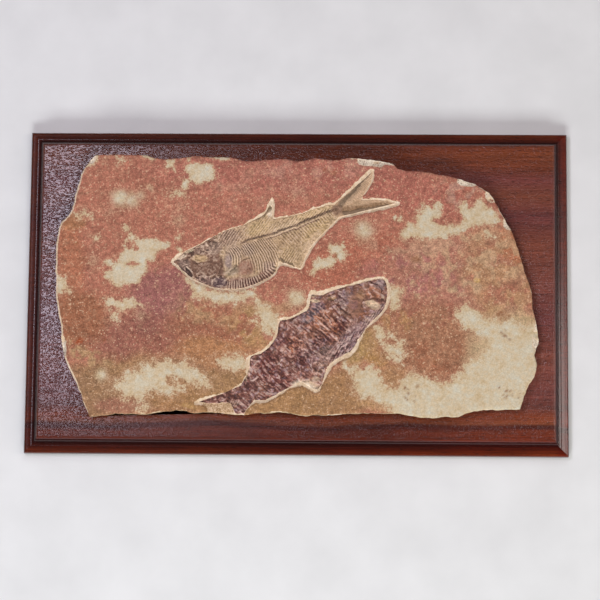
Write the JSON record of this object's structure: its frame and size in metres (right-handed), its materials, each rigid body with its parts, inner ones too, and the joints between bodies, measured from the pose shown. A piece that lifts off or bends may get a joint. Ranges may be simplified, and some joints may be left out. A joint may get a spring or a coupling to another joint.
{
  "type": "fossil fish slab",
  "caption": "Thin plate of stained limestone with prepared fossil fish lying in shallow hollows, mounted on an oblong wooden plaque with a moulded edge.",
  "frame": {"origin": "centre of the plaque's flat back, on the surface it lies on", "axes": "+X along the plaque's long side, to the right as the fish are seen with the tail of the upper one pointing up; +Y across the plaque, towards its upper long side; +Z out of the stone's face"},
  "size_m": [0.508, 0.305, 0.0337],
  "materials": {
    "plaque_wood": "red-brown stained hardwood with a satin varnish",
    "limestone": "split limestone stained brick red, tan and cream, matt",
    "upper_fish_bone": "brown and purple-grey fossil bone in tan rock, matt",
    "lower_fish_bone": "dark purple-brown fossil bone and scales, matt"
  },
  "bodies": {
    "root": {"plaque": "plaque_wood", "stone_slab": "limestone", "upper_fish": "upper_fish_bone", "lower_fish": "lower_fish_bone"}
  },
  "joints": []
}
